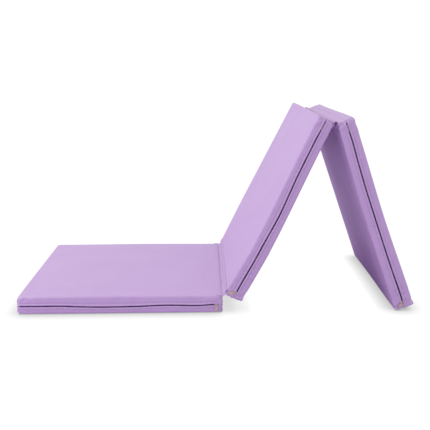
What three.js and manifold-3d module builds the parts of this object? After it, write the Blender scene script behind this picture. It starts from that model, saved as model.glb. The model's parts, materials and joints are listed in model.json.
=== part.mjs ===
// Three-panel folding exercise mat: foam panels in zipped covers, joined by two fold strips.
// Millimetres, +Z up. The origin is the middle of the first panel's underside, on the floor.
// +X runs from the first panel towards the third, and the zips are along the -Y sides.
// The first panel lies flat, and the second and third stand as a tent.

import Module from 'manifold-3d';
import * as THREE from 'three';
import { mergeVertices } from 'three/addons/utils/BufferGeometryUtils.js';

const wasm = await Module();
wasm.setup();

const degrees = Math.PI / 180;

// ---------------------------------------------------------------- driving dimensions

const PANEL = {
  length: 600,
  width: 600,
  thickness: 54,
  cornerRadius: 9,      // corners seen from above
  edgeRadius: 7,        // soft edges between faces and sides
};

const COVER = { skin: 1, slack: 0.5 };      // slack is the air between cover and foam
const CLEARANCE = 0.3;                      // between neighbours that are cut or sewn apart

const FOLD = {
  gap: 3,               // between two panels' ends when the mat lies flat
  axisLift: 1.5,        // the fold line's height above the faces it joins
  secondPanelLean: 63 * degrees,
};

const STRIP = { thickness: 0.9, overlap: 18, endInset: 10, foldRelief: 0.2 };

// The zip lies behind a slit along the middle of the -Y side. Depths run from the panel's
// -Y face into the foam, heights run from the middle of the panel's thickness, and the
// closed end is at +X.
const ZIP = {
  slitHeight: 3,
  slitClosedInset: 14,
  slitOpenInset: 10,
  tapeInset: 9.8,
  tapeHeight: 14,
  tapeThickness: 0.6,
  tapeDepth: 1.3,       // where the tape is sewn behind the flap
  beadNear: 0.8,        // half of the gap between the two rows of teeth
  beadFar: 2.6,
  beadFront: 2.6,
  beadBack: 4.4,
  chainDepth: 3.2,      // the tape's front where it carries the teeth
};

const STOP = {
  front: 1.5,
  back: 2.3,
  height: 3.4,
  openInset: 10.5,
  openLength: 3,
  closedInset: 11,
  closedLength: 1.5,
};

const SLIDER = {
  inset: 19.2,          // its middle, from the panel's end, with the zip closed
  length: 12,
  noseHalfHeight: 4.5,
  tailHalfHeight: 3.2,
  plate: 1,
  frontDepth: 1.3,
  backDepth: 4.7,
  webHeight: 1,
  webLength: 3,
  postHalf: 0.95,
  postInner: 2.7,
  postOuter: 4.1,
  barRadius: 0.8,
  barStandoff: 3,       // the pull's bar, in front of the panel's -Y face
};

const RING = { wire: 0.5, halfWidth: 1.6, above: 1.7, below: 5 };

const TAB = { thickness: 1, holeRadius: 1, headHalfWidth: 2.6, footHalfWidth: 4.7, above: 2.3, below: 14 };
const TAB_SWING = [0, 32 * degrees, 28 * degrees];      // how each tab hangs, from square to its zip

const HANDLE = { halfSpan: 75, padLength: 30, width: 30, thickness: 2.4, rise: 24, gripHalf: 45.6 };

// ---------------------------------------------------------------- derived dimensions

const halfLength = PANEL.length / 2;
const halfWidth = PANEL.width / 2;
const middle = PANEL.thickness / 2;
const frontFace = -halfWidth;
const rearFace = halfWidth;

// The third panel leans until its free edge, rounded to edgeRadius, rests on the floor.
function thirdPanelLean() {
  const foldX = FOLD.gap / 2;
  const secondFold = {
    along: 2 * foldX + PANEL.length,
    above: -(PANEL.thickness + 2 * FOLD.axisLift),
  };
  const lean = FOLD.secondPanelLean;
  const foldHeight = PANEL.thickness + FOLD.axisLift
    + secondFold.along * Math.sin(lean) + secondFold.above * Math.cos(lean);
  const along = foldX + PANEL.length - PANEL.edgeRadius;
  const above = FOLD.axisLift + PANEL.edgeRadius;
  const drop = foldHeight - PANEL.edgeRadius;
  return Math.asin(drop / Math.hypot(along, above)) + Math.atan2(above, along);
}

// ---------------------------------------------------------------- materials

const material = (color, roughness, metalness = 0) =>
  new THREE.MeshStandardMaterial({ color, roughness, metalness });

const leather = () => material(0xc4a6d6, 0.5);
const stripLeather = () => material(0xb896cc, 0.55);
const foam = () => material(0xf0ece2, 0.95);
const tapeCloth = () => material(0x58396b, 0.85);
const brass = () => material(0xc9b48f, 0.35, 0.9);
const webbing = () => material(0xa785bd, 0.8);

// ---------------------------------------------------------------- solid helpers

function toSolid(geometry) {
  geometry.deleteAttribute('normal');
  geometry.deleteAttribute('uv');
  const merged = mergeVertices(geometry);
  return new wasm.Manifold(new wasm.Mesh({
    numProp: 3,
    vertProperties: new Float32Array(merged.attributes.position.array),
    triVerts: new Uint32Array(merged.index.array),
  }));
}

function toGeometry(solid) {
  const { vertProperties, triVerts } = solid.getMesh();
  const geometry = new THREE.BufferGeometry();
  geometry.setAttribute('position', new THREE.BufferAttribute(vertProperties, 3));
  geometry.setIndex(new THREE.BufferAttribute(triVerts, 1));
  geometry.computeVertexNormals();
  return geometry;
}

function box([x0, x1], [y0, y1], [z0, z1]) {
  const geometry = new THREE.BoxGeometry(x1 - x0, y1 - y0, z1 - z0);
  return geometry.translate((x0 + x1) / 2, (y0 + y1) / 2, (z0 + z1) / 2);
}

function mesh(name, geometry, surface) {
  const piece = new THREE.Mesh(geometry, surface);
  piece.name = name;
  return piece;
}

function polygon(points) {
  return new THREE.Shape(points.map(([x, y]) => new THREE.Vector2(x, y)));
}

// A (depth, height) outline of the zip, as a bar from x0 to x1 along a panel's -Y side.
function barBehindFrontFace(outline, x0, x1) {
  const shape = polygon(outline.map(([depth, height]) => [frontFace + depth, middle + height]));
  const bar = new THREE.ExtrudeGeometry(shape, { depth: x1 - x0, bevelEnabled: false });
  const axes = new THREE.Matrix4().makeBasis(
    new THREE.Vector3(0, 1, 0),
    new THREE.Vector3(0, 0, 1),
    new THREE.Vector3(1, 0, 0),
  );
  return bar.applyMatrix4(axes).translate(x0, 0, 0);
}

// An (x, z) outline as a plate that fills y0 to y1.
function uprightPlate(shape, y0, y1) {
  const plate = new THREE.ExtrudeGeometry(shape, {
    depth: y1 - y0,
    bevelEnabled: false,
    curveSegments: 6,
  });
  const axes = new THREE.Matrix4().makeBasis(
    new THREE.Vector3(1, 0, 0),
    new THREE.Vector3(0, 0, 1),
    new THREE.Vector3(0, -1, 0),
  );
  return plate.applyMatrix4(axes).translate(0, y1, 0);
}

// A slab with its underside on z = 0, rounded in plan by corner and round its faces by edge.
function roundedSlab(length, width, thickness, corner, edge) {
  const x = length / 2 - corner;
  const y = width / 2 - corner;
  const radius = corner - edge;
  const outline = new THREE.Shape();
  outline.absarc(x, y, radius, 0, 90 * degrees);
  outline.absarc(-x, y, radius, 90 * degrees, 180 * degrees);
  outline.absarc(-x, -y, radius, 180 * degrees, 270 * degrees);
  outline.absarc(x, -y, radius, 270 * degrees, 360 * degrees);
  const slab = new THREE.ExtrudeGeometry(outline, {
    depth: thickness - 2 * edge,
    curveSegments: 4,
    bevelSize: edge,
    bevelThickness: edge,
    bevelSegments: 3,
  });
  return slab.translate(0, 0, edge);
}

// The panel's outside, drawn in by inset on every side.
function panelSolid(inset) {
  const slab = roundedSlab(
    PANEL.length - 2 * inset,
    PANEL.width - 2 * inset,
    PANEL.thickness - 2 * inset,
    PANEL.cornerRadius - inset,
    PANEL.edgeRadius - inset,
  );
  return toSolid(slab.translate(0, 0, inset));
}

// ---------------------------------------------------------------- panel pieces

// One half of a cover: side is 1 for the half above the middle and -1 for the half below.
// The halves are sewn together along the ends and the rear, and part at the zip's slit.
function coverHalf(side) {
  const shell = panelSolid(0).subtract(panelSolid(COVER.skin));
  const beyond = PANEL.length;
  const seam = middle + side * CLEARANCE / 2;
  const keptHeights = side > 0 ? [seam, beyond] : [-beyond, seam];
  const kept = box([-beyond, beyond], [-beyond, beyond], keptHeights);
  const slit = box(
    [-halfLength + ZIP.slitOpenInset, halfLength - ZIP.slitClosedInset],
    [frontFace - COVER.skin, frontFace + 2 * COVER.skin],
    [middle - ZIP.slitHeight / 2, middle + ZIP.slitHeight / 2],
  );
  return toGeometry(shell.intersect(toSolid(kept)).subtract(toSolid(slit)));
}

// The foam block, with a shallow rebate for the zip tapes and a deeper one for the slider.
function foamCore() {
  const sewn = ZIP.tapeDepth + ZIP.tapeThickness + 2 * CLEARANCE;
  const sewnHeight = ZIP.tapeHeight + 4 * CLEARANCE;
  const sliderBack = SLIDER.backDepth + SLIDER.plate + 2 * CLEARANCE;
  const sliderHeight = SLIDER.noseHalfHeight + 9 * CLEARANCE;
  const rebate = (depth, height) => toSolid(box(
    [-PANEL.length, PANEL.length],
    [frontFace - 1, frontFace + depth],
    [middle - height, middle + height],
  ));
  const block = panelSolid(COVER.skin + COVER.slack);
  return toGeometry(block.subtract(rebate(sewn, sewnHeight)).subtract(rebate(sliderBack, sliderHeight)));
}

// One zip tape with its row of teeth as a bead. It steps back from the flap to the chain.
function zipTape(side) {
  const front = ZIP.tapeDepth;
  const back = ZIP.tapeDepth + ZIP.tapeThickness;
  const chainFront = ZIP.chainDepth;
  const chainBack = ZIP.chainDepth + ZIP.tapeThickness;
  const stepFoot = SLIDER.noseHalfHeight + CLEARANCE / 2;
  const stepRise = 1.7;
  const outline = [
    [ZIP.beadFront, ZIP.beadNear],
    [ZIP.beadBack, ZIP.beadNear],
    [ZIP.beadBack, ZIP.beadFar],
    [chainBack, ZIP.beadFar],
    [chainBack, stepFoot + CLEARANCE],
    [back, stepFoot + stepRise + CLEARANCE],
    [back, ZIP.tapeHeight],
    [front, ZIP.tapeHeight],
    [front, stepFoot + stepRise],
    [chainFront, stepFoot],
    [chainFront, ZIP.beadFar],
    [ZIP.beadFront, ZIP.beadFar],
  ];
  const half = halfLength - ZIP.tapeInset;
  return barBehindFrontFace(outline.map(([depth, height]) => [depth, side * height]), -half, half);
}

// The stop across both rows of teeth, at the zip's open end.
function openEndStop() {
  const start = -halfLength + STOP.openInset;
  return box(
    [start, start + STOP.openLength],
    [frontFace + STOP.front, frontFace + STOP.back],
    [middle - STOP.height, middle + STOP.height],
  );
}

// The stop on one row of teeth, at the zip's closed end.
function closedEndStop(side) {
  const end = halfLength - STOP.closedInset;
  const heights = [middle + side * ZIP.beadNear, middle + side * STOP.height];
  heights.sort((a, b) => a - b);
  return box(
    [end - STOP.closedLength, end],
    [frontFace + STOP.front, frontFace + STOP.back],
    heights,
  );
}

// The slider, about its pull bar: two plates joined by a web, and a bar on posts that reach
// out through the slit.
function slider() {
  const face = SLIDER.barStandoff;
  const nose = SLIDER.length / 2;
  const outline = polygon([
    [-nose, -SLIDER.tailHalfHeight],
    [0, -SLIDER.noseHalfHeight],
    [nose - 1.5, -SLIDER.noseHalfHeight],
    [nose, -SLIDER.noseHalfHeight + 1.5],
    [nose, SLIDER.noseHalfHeight - 1.5],
    [nose - 1.5, SLIDER.noseHalfHeight],
    [0, SLIDER.noseHalfHeight],
    [-nose, SLIDER.tailHalfHeight],
  ]);
  const plate = (depth) => toSolid(uprightPlate(outline, face + depth, face + depth + SLIDER.plate));
  const web = toSolid(box(
    [nose - SLIDER.webLength, nose - SLIDER.plate / 4],
    [face + SLIDER.frontDepth + SLIDER.plate / 2, face + SLIDER.backDepth + SLIDER.plate / 2],
    [-SLIDER.webHeight / 2, SLIDER.webHeight / 2],
  ));
  const post = (x0, x1) => toSolid(box(
    [x0, x1],
    [-SLIDER.postHalf, face + SLIDER.frontDepth + SLIDER.plate / 2],
    [-SLIDER.postHalf, SLIDER.postHalf],
  ));
  const barLength = 2 * SLIDER.postOuter - CLEARANCE;
  const bar = new THREE.CylinderGeometry(SLIDER.barRadius, SLIDER.barRadius, barLength, 12);
  bar.rotateZ(90 * degrees);
  return toGeometry(plate(SLIDER.frontDepth)
    .add(plate(SLIDER.backDepth))
    .add(web)
    .add(post(-SLIDER.postOuter, -SLIDER.postInner))
    .add(post(SLIDER.postInner, SLIDER.postOuter))
    .add(toSolid(bar)));
}

// The oval wire ring, about the pull bar: a racetrack in the YZ plane, hanging along -Z.
function pullRing() {
  const r = RING.halfWidth;
  const handle = r * 4 / 3 * Math.tan(22.5 * degrees);      // of a Bezier quarter circle
  const top = RING.above - r;
  const bottom = -RING.below + r;
  const at = (y, z) => new THREE.Vector3(0, y, z);
  const path = new THREE.CurvePath();
  path.add(new THREE.CubicBezierCurve3(
    at(r, top), at(r, top + handle), at(handle, top + r), at(0, top + r)));
  path.add(new THREE.CubicBezierCurve3(
    at(0, top + r), at(-handle, top + r), at(-r, top + handle), at(-r, top)));
  path.add(new THREE.LineCurve3(at(-r, top), at(-r, bottom)));
  path.add(new THREE.CubicBezierCurve3(
    at(-r, bottom), at(-r, bottom - handle), at(-handle, bottom - r), at(0, bottom - r)));
  path.add(new THREE.CubicBezierCurve3(
    at(0, bottom - r), at(handle, bottom - r), at(r, bottom - handle), at(r, bottom)));
  path.add(new THREE.LineCurve3(at(r, bottom), at(r, top)));
  const ring = new THREE.TubeGeometry(path, 24, RING.wire, 8, true);
  ring.deleteAttribute('normal');
  ring.deleteAttribute('uv');
  return mergeVertices(ring);
}

// The pull tab, about the ring's lowest wire: a drop-shaped plate hanging along -Z.
function pullTab() {
  const foot = TAB.footHalfWidth;
  const head = TAB.headHalfWidth;
  const footTop = -TAB.below + foot;
  const shape = new THREE.Shape();
  shape.moveTo(-head, 0);
  shape.quadraticCurveTo(-foot, footTop / 2, -foot, footTop);
  shape.absarc(0, footTop, foot, 180 * degrees, 360 * degrees);
  shape.quadraticCurveTo(foot, footTop / 2, head, 0);
  shape.quadraticCurveTo(head, TAB.above, 0, TAB.above);
  shape.quadraticCurveTo(-head, TAB.above, -head, 0);
  const hole = new THREE.Path();
  hole.absarc(0, 0, TAB.holeRadius, 0, 360 * degrees, true);
  shape.holes.push(hole);
  return uprightPlate(shape, -TAB.thickness / 2, TAB.thickness / 2);
}

// Half of a fold strip, on the end of a panel: end is 1 at +X and -1 at -X, and face is 1 on
// the top and -1 on the underside.
function foldStrip(end, face) {
  const fold = halfLength + FOLD.gap / 2 - STRIP.foldRelief;
  const along = [end * (halfLength - STRIP.overlap), end * fold];
  const surface = face > 0 ? PANEL.thickness : 0;
  const through = [surface + face * CLEARANCE, surface + face * (CLEARANCE + STRIP.thickness)];
  const ascending = (a, b) => a - b;
  return box(
    along.sort(ascending),
    [frontFace + STRIP.endInset, rearFace - STRIP.endInset],
    through.sort(ascending),
  );
}

// A stretch of the handle strap from x0 to x1, about the chord between its sewn ends. Seen
// from above, the strap bows out from the rear of the panel along a raised cosine.
function strap(x0, x1) {
  const steps = 10;
  const bow = (x) => Math.abs(x) < HANDLE.halfSpan
    ? HANDLE.rise * (1 + Math.cos(Math.PI * x / HANDLE.halfSpan)) / 2
    : 0;
  const inner = [];
  const outer = [];
  for (let i = 0; i <= steps; i += 1) {
    const x = x0 + (x1 - x0) * i / steps;
    inner.push([x, bow(x) - HANDLE.thickness / 2]);
    outer.unshift([x, bow(x) + HANDLE.thickness / 2]);
  }
  const band = new THREE.ExtrudeGeometry(polygon([...inner, ...outer]), {
    depth: HANDLE.width,
    bevelEnabled: false,
  });
  return band.translate(0, 0, -HANDLE.width / 2);
}

// ---------------------------------------------------------------- assembly

// A zipped panel about the middle of its underside. Turned over, its closed zip end is at -X.
function zippedPanel(number, turnedOver) {
  const panel = new THREE.Group();
  if (turnedOver) {
    panel.rotation.y = 180 * degrees;
    panel.position.z = PANEL.thickness;
  }
  const sideName = (side) => ((side > 0) === turnedOver ? 'bottom' : 'top');
  panel.add(mesh(`foam_core_${number}`, foamCore(), foam()));
  for (const side of [1, -1]) {
    const name = sideName(side);
    panel.add(mesh(`cover_${name}_${number}`, coverHalf(side), leather()));
    panel.add(mesh(`zip_tape_${name}_${number}`, zipTape(side), tapeCloth()));
    panel.add(mesh(`zip_closed_stop_${name}_${number}`, closedEndStop(side), brass()));
  }
  panel.add(mesh(`zip_open_stop_${number}`, openEndStop(), brass()));

  const sliderPiece = mesh(`zip_slider_${number}`, slider(), brass());
  sliderPiece.position.set(halfLength - SLIDER.inset, frontFace - SLIDER.barStandoff, middle);
  panel.add(sliderPiece);
  const ring = mesh(`pull_ring_${number}`, pullRing(), brass());
  ring.position.copy(sliderPiece.position);
  panel.add(ring);
  const tab = mesh(`pull_tab_${number}`, pullTab(), brass());
  tab.position.copy(ring.position);
  tab.position.z -= RING.below;
  tab.rotation.y = -TAB_SWING[number - 1];
  panel.add(tab);
  return panel;
}

function handle(number) {
  const group = new THREE.Group();
  group.position.set(0, rearFace + CLEARANCE + HANDLE.thickness / 2, middle);
  const sewnFrom = HANDLE.gripHalf + CLEARANCE;
  const sewnTo = HANDLE.halfSpan + HANDLE.padLength;
  group.add(mesh(`handle_grip_${number}`, strap(-HANDLE.gripHalf, HANDLE.gripHalf), webbing()));
  group.add(mesh(`handle_end_left_${number}`, strap(-sewnTo, -sewnFrom), webbing()));
  group.add(mesh(`handle_end_right_${number}`, strap(sewnFrom, sewnTo), webbing()));
  return group;
}

// A group whose origin is a fold line, placed in the panel before the fold.
function foldAt(height, angle) {
  const fold = new THREE.Group();
  fold.position.set(halfLength + FOLD.gap / 2, 0, height);
  fold.rotation.y = angle;
  return fold;
}

// The panel after a fold, placed in the fold's group.
function panelAfter(height) {
  const panel = new THREE.Group();
  panel.position.set(halfLength + FOLD.gap / 2, 0, -height);
  return panel;
}

const aboveTop = PANEL.thickness + FOLD.axisLift;
const belowUnderside = -FOLD.axisLift;

const mat = new THREE.Group();
mat.add(zippedPanel(1, false));
mat.add(handle(1));
mat.add(mesh('fold_strip_12_on_1', foldStrip(1, 1), stripLeather()));

const firstFold = foldAt(aboveTop, -FOLD.secondPanelLean);
mat.add(firstFold);
const secondPanel = panelAfter(aboveTop);
firstFold.add(secondPanel);
secondPanel.add(zippedPanel(2, true));
secondPanel.add(mesh('fold_strip_12_on_2', foldStrip(-1, 1), stripLeather()));
secondPanel.add(mesh('fold_strip_23_on_2', foldStrip(1, -1), stripLeather()));

const secondFold = foldAt(belowUnderside, FOLD.secondPanelLean + thirdPanelLean());
secondPanel.add(secondFold);
const thirdPanel = panelAfter(belowUnderside);
secondFold.add(thirdPanel);
thirdPanel.add(zippedPanel(3, false));
thirdPanel.add(handle(3));
thirdPanel.add(mesh('fold_strip_23_on_3', foldStrip(-1, -1), stripLeather()));

export default mat;
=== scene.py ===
"""Looks of a three-panel folding exercise mat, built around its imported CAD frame.

The first panel lies flat and the other two stand as a tent. Each panel is a foam block in a
synthetic leather cover of two halves, which meet at a concealed zip along the front side and
at a sewn seam round the other three. Lengths are in metres.
"""

import json
import math

import bpy
import numpy as np
from mathutils import Matrix, Vector

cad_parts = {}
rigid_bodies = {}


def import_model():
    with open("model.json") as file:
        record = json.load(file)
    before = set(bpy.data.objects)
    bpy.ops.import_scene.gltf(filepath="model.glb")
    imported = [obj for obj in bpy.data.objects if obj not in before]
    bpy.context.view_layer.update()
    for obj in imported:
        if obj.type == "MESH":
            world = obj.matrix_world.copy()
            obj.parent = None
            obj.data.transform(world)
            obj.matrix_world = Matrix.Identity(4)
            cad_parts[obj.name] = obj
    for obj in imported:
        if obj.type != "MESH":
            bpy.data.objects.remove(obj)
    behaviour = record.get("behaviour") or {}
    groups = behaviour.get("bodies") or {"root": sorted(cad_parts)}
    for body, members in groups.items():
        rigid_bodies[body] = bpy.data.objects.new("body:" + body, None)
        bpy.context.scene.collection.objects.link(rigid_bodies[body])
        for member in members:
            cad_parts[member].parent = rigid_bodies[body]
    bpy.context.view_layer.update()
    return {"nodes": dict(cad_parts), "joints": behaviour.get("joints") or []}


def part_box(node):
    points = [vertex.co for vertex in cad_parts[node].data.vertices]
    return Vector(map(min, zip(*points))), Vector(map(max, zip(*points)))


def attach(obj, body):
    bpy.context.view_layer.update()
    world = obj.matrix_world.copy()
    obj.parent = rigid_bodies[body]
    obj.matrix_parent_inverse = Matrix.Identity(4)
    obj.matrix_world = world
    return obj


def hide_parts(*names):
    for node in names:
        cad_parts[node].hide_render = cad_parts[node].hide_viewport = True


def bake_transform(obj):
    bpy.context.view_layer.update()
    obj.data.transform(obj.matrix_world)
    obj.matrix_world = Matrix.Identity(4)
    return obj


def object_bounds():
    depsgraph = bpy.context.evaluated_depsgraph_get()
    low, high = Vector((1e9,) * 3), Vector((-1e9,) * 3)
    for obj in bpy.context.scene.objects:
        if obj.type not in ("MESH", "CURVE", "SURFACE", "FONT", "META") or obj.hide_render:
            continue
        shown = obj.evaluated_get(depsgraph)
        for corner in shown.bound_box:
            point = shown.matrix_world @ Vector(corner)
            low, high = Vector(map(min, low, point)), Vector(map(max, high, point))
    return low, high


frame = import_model()
joints = {joint["name"]: joint for joint in frame["joints"]}

MM = 0.001
PANELS = (1, 2, 3)
HALVES = ("top", "bottom")

# ---------------------------------------------------------------- driving dimensions

COVER = {
    "rounding": np.array((6.5, 6.5, 7)) * MM,   # along x, y and z
    "inset": 0.8 * MM,          # drawn in from the CAD faces, so that it can swell
    "thickness": 1.0 * MM,
    "grid_length": 6.1 * MM,    # spacing of the grid along the zip
    "grid_width": 24 * MM,      # widest spacing across the face
}

# How the stuffed panels differ from flat boxes, along each panel's z and seen from its front.
# For the faces on the plus and minus side of z: the shift in mm at the zip's closed end, at a
# place between and at the open end, and that place as a share of the way from the closed end.
# "rear" is the part of the shift that the rear side takes.
SAG = {
    1: {1: (0.0, 2.0, 0.8, 0.5), -1: (0.0, 0.0, 0.0, 0.5), "rear": 0.8},
    2: {1: (5.0, 10.0, 0.0, 0.28), -1: (0.0, 7.5, 0.0, 0.3), "rear": -0.2},
    3: {1: (3.0, -3.0, 0.5, 0.5), -1: (-4.0, -6.0, 0.0, 0.5), "rear": 0.0},
}
FREE_END_SWELL = 12 * MM        # the first panel's free end stands out by this
CAP_SWELL = 2.5 * MM            # and the front corner of the third panel's upper end
# the first panel's slit runs below half height, by this at the zip's open end, the middle
# and the closed end
LOW_SLIT = np.array((2.0, 6.0, 1.5)) * MM

CLOTH = {"frames": 20, "pressure": 3.0, "growth": 0.012, "cap": 4 * MM}

LIP = {
    "roll": 1.2 * MM,           # radius of the turned-in edge
    "reach": 12 * MM,           # the band next to the edge that makes room for the gap
    "slit_half_gap": 1.6 * MM,
    "seam_half_gap": 0.15 * MM,
    "waver": 0.15 * MM,         # how much the slit's half gap comes and goes
    "open_end": 2 * MM,         # from the panel's end to the slit
    "closed_end": 13 * MM,
    "taper": 9 * MM,
}

# a rolled ridge beside the slit, a row of stitching, and a lower second ridge
HEM = {
    "puff": 2.3 * MM,
    "crest": 4.2 * MM,
    "crest_width": 2.3 * MM,
    "stitch_line": 8 * MM,
    "stitch_width": 1.1 * MM,
    "stitch_depth": 0.4 * MM,
    "stitch_end": 10 * MM,      # from the panel's ends to the first stitches
    "second_crest": 12.5 * MM,
    "second_width": 3 * MM,
    "second_share": 0.25,
    "beyond_zip": 0.15,         # the share of it that carries on past the zip's ends
}

# wrinkles of the sides: small ones at the slit's stitching, and longer waves
PUCKER = {"height": 0.5 * MM, "shortest": 11 * MM, "longest": 22 * MM}
RIPPLE = {"height": 0.45 * MM, "shortest": 38 * MM, "longest": 90 * MM}

# where the seams gather at the front corners
DENT = {"depth": 2.8 * MM, "reach": 30 * MM, "by_zip": 0.4}
GATHER = {"height": 1.7 * MM, "reach": 18 * MM, "folds": 11}
BY_ZIP = (8 * MM, 15 * MM)      # both stay low up to the first height and are full at the second

# slackness of the faces, drag lines from their corners, and their crown
FACE = {
    "slack": 1.0 * MM,
    "drag": 0.35 * MM,
    "drag_lines": 9,            # per radian round the corner
    "drag_from_corner": 55 * MM,
    "drag_width": 40 * MM,
    "crown": 1.3 * MM,
    "crown_reach": 130 * MM,
}

SEAM_LINE = {"depth": 0.9 * MM, "width": 1.6 * MM}

STRIP = {
    "flange": 18 * MM,
    "end_inset": 1.5 * MM,
    "lift": 0.55 * MM,          # its middle surface above the cover
    "thickness": 0.9 * MM,
    "hug": 68,                  # degrees of the rounded edge that it leaves uncovered
    "column": 3 * MM,
}

FOAM = {"gap": 4.5 * MM}        # from the cover's outer surface

STITCH = {"length": 3 * MM, "pitch": 4.2 * MM, "radius": 0.3 * MM}

# behind the slit; the tape's section is (depth from the front side, distance from half height)
ZIP = {
    "tape_section": np.array(((4.1, 12.5), (3.9, 6.6), (3.5, 4.9), (3.3, 1.3))) * MM,
    "tape_thickness": 0.5 * MM,
    "tape_end": 9.8 * MM,       # from the panel's ends
    "tape_step": 12 * MM,
    "no_teeth_open": 27 * MM,   # from the tape's open end to the first tooth
    "no_teeth_closed": 14 * MM,
}

TOOTH = {"pitch": 2 * MM, "width": 1.15 * MM, "front": 2.6 * MM, "back": 4.4 * MM}


# ---------------------------------------------------------------- small helpers

def unit(vector):
    vector = np.array(vector, float)
    return vector / np.linalg.norm(vector)


def smoothstep(low, high, value):
    share = np.clip((value - low) / (high - low), 0, 1)
    return share * share * (3 - 2 * share)


def waves(position, shortest, longest, seed, count=7):
    """A smooth random wave over one or more coordinates, mostly within -1.4 to 1.4."""
    rng = np.random.default_rng(seed)
    position = np.atleast_2d(np.asarray(position, float))
    total = np.zeros(position.shape[1])
    for _ in range(count):
        length = rng.uniform(shortest, longest)
        heading = rng.normal(size=len(position))
        heading /= np.linalg.norm(heading)
        phase = rng.uniform(0, 2 * math.pi)
        total += np.sin(2 * math.pi * (heading @ position) / length + phase)
    return total / math.sqrt(count)


def mesh_object(name, vertices, faces, material, smooth=True):
    mesh = bpy.data.meshes.new(name)
    mesh.from_pydata([tuple(v) for v in vertices], [], [tuple(f) for f in faces])
    mesh.polygons.foreach_set("use_smooth", [smooth] * len(mesh.polygons))
    mesh.update()
    made = bpy.data.objects.new(name, mesh)
    bpy.context.scene.collection.objects.link(made)
    if material is not None:
        mesh.materials.append(material)
    return made


def evaluated(made):
    """The object's mesh after its modifiers, as (vertices, faces)."""
    depsgraph = bpy.context.evaluated_depsgraph_get()
    result = made.evaluated_get(depsgraph)
    mesh = result.to_mesh()
    points = np.empty(len(mesh.vertices) * 3, np.float32)
    mesh.vertices.foreach_get("co", points)
    faces = [tuple(face.vertices) for face in mesh.polygons]
    result.to_mesh_clear()
    return points.reshape(-1, 3).astype(float), faces


def discard(made):
    mesh = made.data
    bpy.data.objects.remove(made)
    bpy.data.meshes.remove(mesh)


def subdivide(points, faces, smooth):
    """One round of subdivision, with straight edges or with Catmull and Clark's rule."""
    draft = mesh_object("draft", points, faces, None)
    modifier = draft.modifiers.new("subdivide", "SUBSURF")
    modifier.subdivision_type = "CATMULL_CLARK" if smooth else "SIMPLE"
    modifier.levels = 1
    modifier.use_limit_surface = False
    result = evaluated(draft)
    discard(draft)
    return result


def grid_faces(rows, columns, offset=0, flip=False):
    faces = []
    for i in range(rows - 1):
        for j in range(columns - 1):
            at = offset + i * columns + j
            face = (at, at + columns, at + columns + 1, at + 1)
            faces.append(face[::-1] if flip else face)
    return faces


def slab(front, back):
    """A closed sheet between two grids of points, each of shape (rows, columns, 3)."""
    rows, columns = front.shape[:2]
    count = rows * columns
    faces = grid_faces(rows, columns) + grid_faces(rows, columns, count, flip=True)
    border = [(0, j) for j in range(columns)]
    border += [(i, columns - 1) for i in range(1, rows)]
    border += [(rows - 1, j) for j in range(columns - 2, -1, -1)]
    border += [(i, 0) for i in range(rows - 2, 0, -1)]
    ids = [i * columns + j for i, j in border]
    for here, there in zip(ids, ids[1:] + ids[:1]):
        faces.append((here, there, there + count, here + count))
    return np.concatenate([front.reshape(-1, 3), back.reshape(-1, 3)]), faces


def tube_faces(rings, count):
    """The faces of a tube through rings of count points each, with both ends closed."""
    faces = [tuple(range(count))[::-1], tuple(range((rings - 1) * count, rings * count))]
    for ring in range(rings - 1):
        for k in range(count):
            a, b = ring * count + k, ring * count + (k + 1) % count
            faces.append((a, b, b + count, a + count))
    return faces


# ---------------------------------------------------------------- where the panels are

class Panel:
    """A panel's own axes: x towards the zip's closed end, y to the rear, z out of one face."""

    def __init__(self, number):
        boxes = [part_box(f"cover_{half}_{number}") for half in HALVES]
        low = np.min([box[0] for box in boxes], axis=0)
        high = np.max([box[1] for box in boxes], axis=0)
        self.number = number
        self.body = f"panel_{number}"
        self.middle = (low + high) / 2
        x = -unit(joints[f"zip_slide_{number}"]["axis"])
        y = np.array((0.0, 1.0, 0.0))
        self.axes = np.array((x, y, np.cross(x, y)))
        self.side = {}
        for half, box in zip(HALVES, boxes):
            outward = (np.array(box[0]) + np.array(box[1])) / 2 - self.middle
            self.side[half] = int(np.sign(outward @ self.axes[2]))

    def place(self, points):
        return np.asarray(points, float) @ self.axes + self.middle

    def turn(self, directions):
        return np.asarray(directions, float) @ self.axes


panels = {number: Panel(number) for number in PANELS}
flat_low = np.min([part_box(f"cover_{half}_1")[0] for half in HALVES], axis=0)
flat_high = np.max([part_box(f"cover_{half}_1")[1] for half in HALVES], axis=0)
CAD_HALF = (flat_high - flat_low) / 2
HALF = CAD_HALF - COVER["inset"]


def stuffed(panel, points):
    """Points of a panel moved as its cover and foam sag and swell."""
    points = np.array(points, float)
    x, y, z = points.T
    along = np.clip((HALF[0] - x) / (2 * HALF[0]), 0, 1)
    form = SAG[panel.number]
    shifts = {}
    for side in (1, -1):
        closed, between, opened, place = form[side]
        near = closed + (between - closed) * smoothstep(0, place, along)
        far = between + (opened - between) * smoothstep(place, 1, along)
        shifts[side] = np.where(along < place, near, far) * MM
    share = np.clip((z / HALF[2] + 1) / 2, 0, 1)
    front = 1 - smoothstep(-HALF[1], 0.4 * HALF[1], y)
    taken = form["rear"] + (1 - form["rear"]) * front
    points[:, 2] += taken * (shifts[-1] + share * (shifts[1] - shifts[-1]))
    if panel.number == 1:
        points[:, 0] -= FREE_END_SWELL * smoothstep(HALF[0] - 120 * MM, HALF[0], -x)
    if panel.number == 3:
        cap = smoothstep(HALF[0] - 60 * MM, HALF[0], -x) * smoothstep(-0.2, 0.8, z / HALF[2])
        points[:, 0] -= CAP_SWELL * front * cap
    return points


# ---------------------------------------------------------------- materials

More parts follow.
